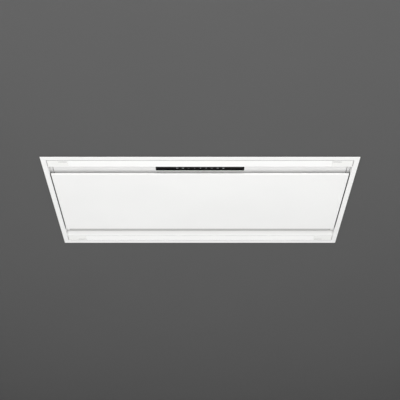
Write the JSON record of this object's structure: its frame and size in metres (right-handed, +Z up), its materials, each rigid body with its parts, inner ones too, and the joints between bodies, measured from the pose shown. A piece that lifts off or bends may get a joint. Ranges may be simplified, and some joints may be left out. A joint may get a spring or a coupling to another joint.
{
  "type": "ceiling range hood",
  "caption": "Flush ceiling hood: white frame, light strips along both long sides, touch strip, drop-down suction panel, grease filters and a blower with a top outlet.",
  "frame": {"origin": "centre of the visible frame, on the plane of its underside; bottom centre of the closed hood's box", "axes": "+X along the long sides, to the right of someone who stands at the touch strip's side and faces the hood; +Y away from that person; +Z up into the ceiling"},
  "size_m": [1.2, 0.6, 0.3453],
  "materials": {
    "white_paint": "satin powder coat",
    "galvanised_steel": "spangled zinc coating",
    "aluminium": "mill finish",
    "filter_mesh": "expanded, unpolished",
    "circuit_board": "solder mask",
    "opal_diffuser": "satin opal",
    "white_plastic": "fine grain",
    "black_glass": "polished, printed from behind",
    "black_plastic": "moulded grain",
    "grey_plastic": "moulded grain",
    "bright_steel": "zinc plated",
    "foam": "closed-cell foam"
  },
  "bodies": {
    "housing": {"cable_gland": "black_plastic", "capacitor": "aluminium", "ceiling_gasket": "foam", "control_box": "grey_plastic", "control_box_lid": "grey_plastic", "filter_frame_centre": "aluminium", "filter_frame_left": "aluminium", "filter_frame_right": "aluminium", "filter_mesh_centre": "filter_mesh", "filter_mesh_left": "filter_mesh", "filter_mesh_right": "filter_mesh", "filter_rail_left": "galvanised_steel", "filter_rail_right": "galvanised_steel", "flange_frame": "white_paint", "flap_pin": "bright_steel", "front_channel": "white_paint", "front_led_board": "circuit_board", "front_led_cap_left": "white_plastic", "front_led_cap_right": "white_plastic", "front_led_diffuser": "opal_diffuser", "front_led_profile": "aluminium", "hanger_front_left": "galvanised_steel", "hanger_front_right": "galvanised_steel", "hanger_rear_left": "galvanised_steel", "hanger_rear_right": "galvanised_steel", "hinge_fixed_leaf_left": "bright_steel", "hinge_fixed_leaf_right": "bright_steel", "housing_end_left": "galvanised_steel", "housing_end_right": "galvanised_steel", "housing_shell": "galvanised_steel", "left_side_trim": "white_paint", "magnet_catch_left": "black_plastic", "magnet_catch_right": "black_plastic", "motor": "bright_steel", "motor_bracket": "galvanised_steel", "outlet_collar": "white_plastic", "rear_channel": "white_paint", "rear_led_board": "circuit_board", "rear_led_cap_left": "white_plastic", "rear_led_cap_right": "white_plastic", "rear_led_diffuser": "opal_diffuser", "rear_led_profile": "aluminium", "right_side_trim": "white_paint", "scroll_left": "black_plastic", "scroll_right": "black_plastic", "touch_glass": "black_glass", "touch_module": "black_plastic"},
    "panel_assembly": {"suction_panel": "white_paint", "panel_stiffener": "aluminium", "hinge_panel_leaf_left": "bright_steel", "hinge_panel_leaf_right": "bright_steel", "hinge_pin_left": "bright_steel", "hinge_pin_right": "bright_steel"},
    "fan_wheel": {"impeller": "black_plastic", "motor_shaft": "bright_steel"},
    "front_flap": {"backdraft_flap_front": "white_plastic"},
    "rear_flap": {"backdraft_flap_rear": "white_plastic"},
    "latch_left": {"filter_latch_left": "black_plastic"},
    "latch_centre": {"filter_latch_centre": "black_plastic"},
    "latch_right": {"filter_latch_right": "black_plastic"}
  },
  "joints": [
    {"name": "panel_hinge", "type": "hinge", "parent": "housing", "child": "panel_assembly", "pos_m": [0, 0.1915, 0.017], "axis": [1, 0, 0], "range_deg": [0, 90]},
    {"name": "fan_spin", "type": "hinge", "parent": "housing", "child": "fan_wheel", "pos_m": [0, -0.08729, 0.18637], "axis": [1, 0, 0], "continuous": true},
    {"name": "rear_flap_hinge", "type": "hinge", "parent": "housing", "child": "rear_flap", "pos_m": [0, 0, 0.3092], "axis": [1, 0, 0], "range_deg": [0, 78]},
    {"name": "front_flap_hinge", "type": "hinge", "parent": "housing", "child": "front_flap", "pos_m": [0, 0, 0.3092], "axis": [-1, 0, 0], "range_deg": [0, 78]},
    {"name": "filter_latch_left_slide", "type": "slide", "parent": "housing", "child": "latch_left", "axis": [0, 1, 0], "range_m": [0, 0.008], "stiffness_N_per_m": 150, "springref_m": -0.008},
    {"name": "filter_latch_centre_slide", "type": "slide", "parent": "housing", "child": "latch_centre", "axis": [0, 1, 0], "range_m": [0, 0.008], "stiffness_N_per_m": 150, "springref_m": -0.008},
    {"name": "filter_latch_right_slide", "type": "slide", "parent": "housing", "child": "latch_right", "axis": [0, 1, 0], "range_m": [0, 0.008], "stiffness_N_per_m": 150, "springref_m": -0.008}
  ]
}
